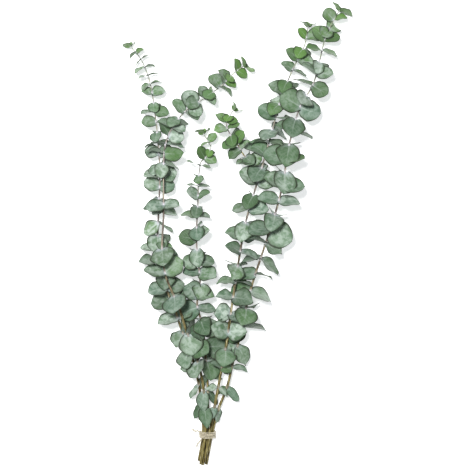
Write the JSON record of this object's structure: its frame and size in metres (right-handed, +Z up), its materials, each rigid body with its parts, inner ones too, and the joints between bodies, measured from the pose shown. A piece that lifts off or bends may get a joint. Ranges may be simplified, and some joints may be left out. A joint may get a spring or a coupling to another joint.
{
  "type": "eucalyptus bunch",
  "caption": "Tied bunch of long eucalyptus sprigs with round blue-green leaves in opposite pairs, lying down, as a florist's cut greenery.",
  "frame": {"origin": "middle of the underside of the bunch's box, on the surface that the bunch lies on", "axes": "+Y along the bunch from the cut ends to the tips, +Z up from the surface, +X to the right"},
  "size_m": [0.3246, 0.6574, 0.0565],
  "materials": {
    "bark": "matte olive-brown bark",
    "green_shoot": "soft green shoot and young leaves with a pale bloom",
    "leaf": "waxy blue-green leaf with a matte grey bloom",
    "twine": "rough undyed jute twine"
  },
  "bodies": {
    "root": {"arching_leaves_01": "leaf", "arching_leaves_02": "leaf", "arching_leaves_03": "leaf", "arching_leaves_04": "leaf", "arching_leaves_05": "leaf", "arching_stem": "bark", "arching_top": "green_shoot", "inner_right_leaves_01": "leaf", "inner_right_leaves_02": "leaf", "inner_right_leaves_03": "leaf", "inner_right_leaves_04": "leaf", "inner_right_leaves_05": "leaf", "inner_right_leaves_06": "leaf", "inner_right_leaves_07": "leaf", "inner_right_leaves_08": "leaf", "inner_right_leaves_09": "leaf", "inner_right_stem": "bark", "inner_right_top": "green_shoot", "left_leaves_01": "leaf", "left_leaves_02": "leaf", "left_leaves_03": "leaf", "left_leaves_04": "leaf", "left_leaves_05": "leaf", "left_leaves_06": "leaf", "left_leaves_07": "leaf", "left_leaves_08": "leaf", "left_leaves_09": "leaf", "left_stem": "bark", "left_top": "green_shoot", "middle_leaves_01": "leaf", "middle_leaves_02": "leaf", "middle_leaves_03": "leaf", "middle_leaves_04": "leaf", "middle_leaves_05": "leaf", "middle_leaves_06": "leaf", "middle_leaves_07": "leaf", "middle_leaves_08": "leaf", "middle_leaves_09": "leaf", "middle_stem": "bark", "middle_top": "green_shoot", "outer_right_leaves_01": "leaf", "outer_right_leaves_02": "leaf", "outer_right_leaves_03": "leaf", "outer_right_leaves_04": "leaf", "outer_right_leaves_05": "leaf", "outer_right_leaves_06": "leaf", "outer_right_leaves_07": "leaf", "outer_right_leaves_08": "leaf", "outer_right_leaves_09": "leaf", "outer_right_leaves_10": "leaf", "outer_right_stem": "bark", "outer_right_top": "green_shoot", "side_shoot": "green_shoot", "twine": "twine"}
  },
  "joints": []
}
